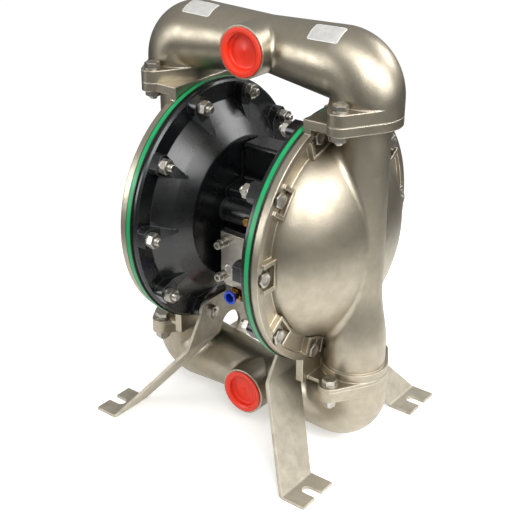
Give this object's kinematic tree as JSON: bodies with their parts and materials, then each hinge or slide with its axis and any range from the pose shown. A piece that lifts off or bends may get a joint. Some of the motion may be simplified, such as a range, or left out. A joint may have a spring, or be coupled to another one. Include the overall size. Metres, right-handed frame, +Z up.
{
  "type": "air operated diaphragm pump",
  "caption": "Air operated double diaphragm pump: two domed metal chambers with vertical pipes, joined by pipe manifolds with front ports, black air centre, on bent sheet feet.",
  "frame": {"origin": "centre of the footprint, on the floor under the feet", "axes": "+X along the diaphragm shaft towards the right chamber, +Z up, -Y the way the two ports face"},
  "size_m": [0.3598, 0.32, 0.5385],
  "materials": {
    "cast_stainless": "satin, bead blasted casting",
    "cover_alloy": "satin",
    "foot_plate": "brushed, bent plate",
    "black_casting": "semi-gloss black paint on cast aluminium",
    "green_rubber": "satin",
    "ball_rubber": "matte",
    "red_plastic": "satin",
    "blue_plastic": "gloss",
    "brass": "machined",
    "seal_rubber": "matte",
    "black_plastic": "matte",
    "valve_alloy": "machined",
    "rod_steel": "ground",
    "dark_steel": "black oxide",
    "fastener_steel": "bright stainless"
  },
  "bodies": {
    "housing": {"air_cap_gaskets": "seal_rubber", "air_fitting": "brass", "brass_plug": "brass", "centre_body": "black_casting", "exhaust_silencer": "black_plastic", "inlet_bolts": "fastener_steel", "inlet_manifold": "cast_stainless", "inlet_nuts": "fastener_steel", "inlet_washers": "fastener_steel", "joint_rings": "seal_rubber", "left_air_cap": "black_casting", "left_cap_screws": "dark_steel", "left_chamber_bolts": "fastener_steel", "left_chamber_nuts": "fastener_steel", "left_chamber_washers": "fastener_steel", "left_diaphragm": "green_rubber", "left_fluid_cap": "cast_stainless", "left_foot": "foot_plate", "left_inlet_seat": "rod_steel", "left_outlet_seat": "rod_steel", "outlet_bolts": "fastener_steel", "outlet_manifold": "cast_stainless", "outlet_nuts": "fastener_steel", "outlet_washers": "fastener_steel", "pilot_bushes": "black_plastic", "right_air_cap": "black_casting", "right_cap_screws": "dark_steel", "right_chamber_bolts": "fastener_steel", "right_chamber_nuts": "fastener_steel", "right_chamber_washers": "fastener_steel", "right_diaphragm": "green_rubber", "right_fluid_cap": "cast_stainless", "right_foot": "foot_plate", "right_inlet_seat": "rod_steel", "right_outlet_seat": "rod_steel", "rod_bushes": "brass", "rod_seals": "seal_rubber", "spool_end_caps": "black_plastic", "valve_cover": "cover_alloy", "valve_cover_gasket": "seal_rubber", "valve_cover_screws": "fastener_steel"},
    "diaphragm_rod": {"main_rod": "rod_steel", "rod_bolts": "fastener_steel", "right_inner_plate": "valve_alloy", "left_inner_plate": "valve_alloy", "right_outer_plate": "rod_steel", "left_outer_plate": "rod_steel"},
    "right_outlet_check": {"right_outlet_ball": "ball_rubber"},
    "left_outlet_check": {"left_outlet_ball": "ball_rubber"},
    "right_inlet_check": {"right_inlet_ball": "ball_rubber"},
    "left_inlet_check": {"left_inlet_ball": "ball_rubber"},
    "main_spool": {"valve_spool": "valve_alloy"},
    "pilot": {"pilot_rod": "rod_steel"},
    "tube_release": {"release_collar": "blue_plastic"},
    "outlet_transport_plug": {"outlet_plug": "red_plastic"},
    "inlet_transport_plug": {"inlet_plug": "red_plastic"}
  },
  "joints": [
    {"name": "rod_stroke", "type": "slide", "parent": "housing", "child": "diaphragm_rod", "axis": [1, 0, 0], "range_m": [-0.018, 0.018], "deforming": ["right_diaphragm", "left_diaphragm"]},
    {"name": "right_outlet_lift", "type": "slide", "parent": "housing", "child": "right_outlet_check", "axis": [0, 0, 1], "range_m": [0, 0.01]},
    {"name": "left_outlet_lift", "type": "slide", "parent": "housing", "child": "left_outlet_check", "axis": [0, 0, 1], "range_m": [0, 0.01]},
    {"name": "right_inlet_lift", "type": "slide", "parent": "housing", "child": "right_inlet_check", "axis": [0, 0, 1], "range_m": [0, 0.01]},
    {"name": "left_inlet_lift", "type": "slide", "parent": "housing", "child": "left_inlet_check", "axis": [0, 0, 1], "range_m": [0, 0.01]},
    {"name": "spool_shift", "type": "slide", "parent": "housing", "child": "main_spool", "axis": [1, 0, 0], "range_m": [-0.006, 0.006]},
    {"name": "pilot_shift", "type": "slide", "parent": "housing", "child": "pilot", "axis": [1, 0, 0], "range_m": [-0.005, 0.005]},
    {"name": "collar_push", "type": "slide", "parent": "housing", "child": "tube_release", "axis": [0, 1, 0], "range_m": [0, 0.0015], "stiffness_N_per_m": 400},
    {"name": "outlet_plug_pull", "type": "slide", "parent": "housing", "child": "outlet_transport_plug", "axis": [0, -1, 0], "range_m": [0, 0.04]},
    {"name": "inlet_plug_pull", "type": "slide", "parent": "housing", "child": "inlet_transport_plug", "axis": [0, -1, 0], "range_m": [0, 0.04]}
  ]
}
